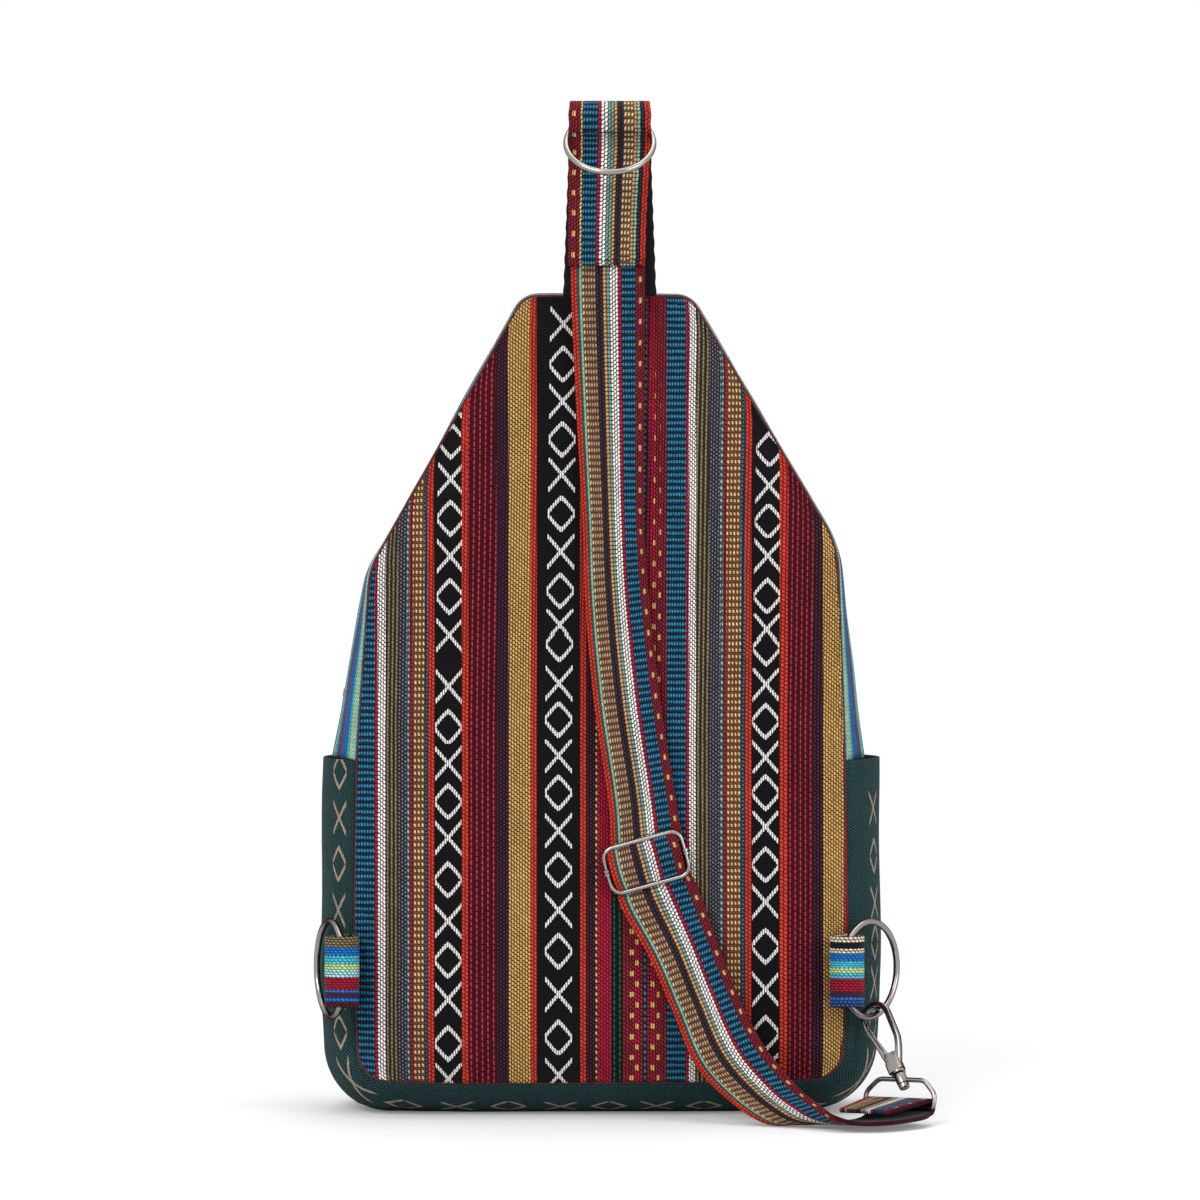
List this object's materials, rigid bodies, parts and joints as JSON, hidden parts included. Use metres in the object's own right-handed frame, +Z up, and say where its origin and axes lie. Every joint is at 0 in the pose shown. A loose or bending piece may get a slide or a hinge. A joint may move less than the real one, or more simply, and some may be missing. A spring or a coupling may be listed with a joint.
{
  "type": "woven sling bag",
  "caption": "Hollow woven cloth sling bag with a padded striped back, gusseted sides, a zipped front pocket and a hanging strap clipped to a ring at its side.",
  "frame": {"origin": "centre of the flat base, on the surface that the bag stands on", "axes": "+Z up from the base to the strap's ring; -Y out of the padded back panel that faces the camera; +X to the right as seen from there, where the strap is clipped"},
  "size_m": [0.2672, 0.1568, 0.4371],
  "materials": {
    "back_cloth": "matte woven cotton stripes",
    "front_cloth": "matte woven cotton stripes",
    "gusset_cloth": "matte woven cotton",
    "strap_cloth": "matte woven cotton webbing",
    "tab_cloth": "matte woven cotton",
    "lining_cloth": "matte plain weave",
    "piping_cloth": "matte cord piping",
    "zip_tape": "woven tape with a nylon coil",
    "nickel": "brushed nickel plate"
  },
  "bodies": {
    "bag": {"back_panel": "back_cloth", "front_panel": "front_cloth", "front_pocket": "gusset_cloth", "pocket_back_wall": "lining_cloth", "lower_gusset": "gusset_cloth", "upper_gusset_back": "front_cloth", "upper_gusset_front": "front_cloth", "main_zip_tape": "zip_tape", "pocket_zip_tape": "zip_tape", "back_piping": "piping_cloth", "front_piping": "piping_cloth", "strap_anchor_loop": "strap_cloth", "shoulder_strap": "strap_cloth", "left_tab": "tab_cloth", "right_tab": "tab_cloth"},
    "top_ring": {"top_ring": "nickel"},
    "left_ring": {"left_ring": "nickel"},
    "right_ring": {"right_ring": "nickel"},
    "adjuster": {"adjuster_frame": "nickel"},
    "adjuster_bar": {"adjuster_bar": "nickel"},
    "swivel_eye": {"swivel_eye": "nickel"},
    "snap_hook": {"hook_body": "nickel", "gate_pin": "nickel"},
    "hook_gate": {"hook_gate": "nickel"},
    "main_zip_slider": {"main_zip_slider": "nickel"},
    "main_zip_pull": {"main_zip_pull": "nickel"},
    "pocket_zip_slider": {"pocket_zip_slider": "nickel"},
    "pocket_zip_pull": {"pocket_zip_pull": "nickel"}
  },
  "joints": [
    {"name": "top_ring_swing", "type": "hinge", "parent": "bag", "child": "top_ring", "pos_m": [0.0042, -0.05, 0.4285], "axis": [1, 0, 0], "range_deg": [-200, 28]},
    {"name": "left_ring_swing", "type": "hinge", "parent": "bag", "child": "left_ring", "pos_m": [-0.1102, -0.0592, 0.0642], "axis": [0, 0, 1], "range_deg": [0, 165]},
    {"name": "right_ring_swing", "type": "hinge", "parent": "bag", "child": "right_ring", "pos_m": [0.1055, -0.0592, 0.0642], "axis": [0, 0, 1], "range_deg": [-2, 2]},
    {"name": "adjuster_slide", "type": "slide", "parent": "bag", "child": "adjuster", "axis": [-0.147, 0, 0.9891], "range_m": [0, 0.06], "deforming": ["shoulder_strap"]},
    {"name": "adjuster_bar_slide", "type": "slide", "parent": "adjuster", "child": "adjuster_bar", "axis": [-0.2656, 0, 0.9641], "range_m": [-0.003, 0.003]},
    {"name": "eye_turn", "type": "hinge", "parent": "bag", "child": "swivel_eye", "pos_m": [0.12753, -0.06275, 0.0073], "axis": [0.7996, -0.5997, 0.0312], "range_deg": [0, 1.5]},
    {"name": "hook_swivel", "type": "hinge", "parent": "swivel_eye", "child": "snap_hook", "pos_m": [0.12869, -0.06062, 0.01834], "axis": [-0.3057, 0.5475, 0.779], "range_deg": [-8, 4]},
    {"name": "gate_spring", "type": "hinge", "parent": "snap_hook", "child": "hook_gate", "pos_m": [0.12367, -0.05431, 0.02541], "axis": [0.4761, 0.7964, -0.373], "range_deg": [0, 15], "stiffness_Nm_per_rad": 0.02, "springref_deg": -5.73},
    {"name": "main_zip_slide", "type": "slide", "parent": "bag", "child": "main_zip_slider", "axis": [0.1529, -0.1719, 0.9732], "range_m": [0, 0.035]},
    {"name": "main_pull_turn", "type": "hinge", "parent": "main_zip_slider", "child": "main_zip_pull", "pos_m": [-0.11245, 0.02197, 0.18184], "axis": [0.3005, 0.9462, 0.1199], "range_deg": [0, 160]},
    {"name": "pocket_zip_slide", "type": "slide", "parent": "bag", "child": "pocket_zip_slider", "axis": [1, 0, 0], "range_m": [0, 0.13]},
    {"name": "pocket_pull_turn", "type": "hinge", "parent": "pocket_zip_slider", "child": "pocket_zip_pull", "pos_m": [-0.066, 0.0541, 0.152], "axis": [0, 0, -1], "range_deg": [0, 160]}
  ]
}
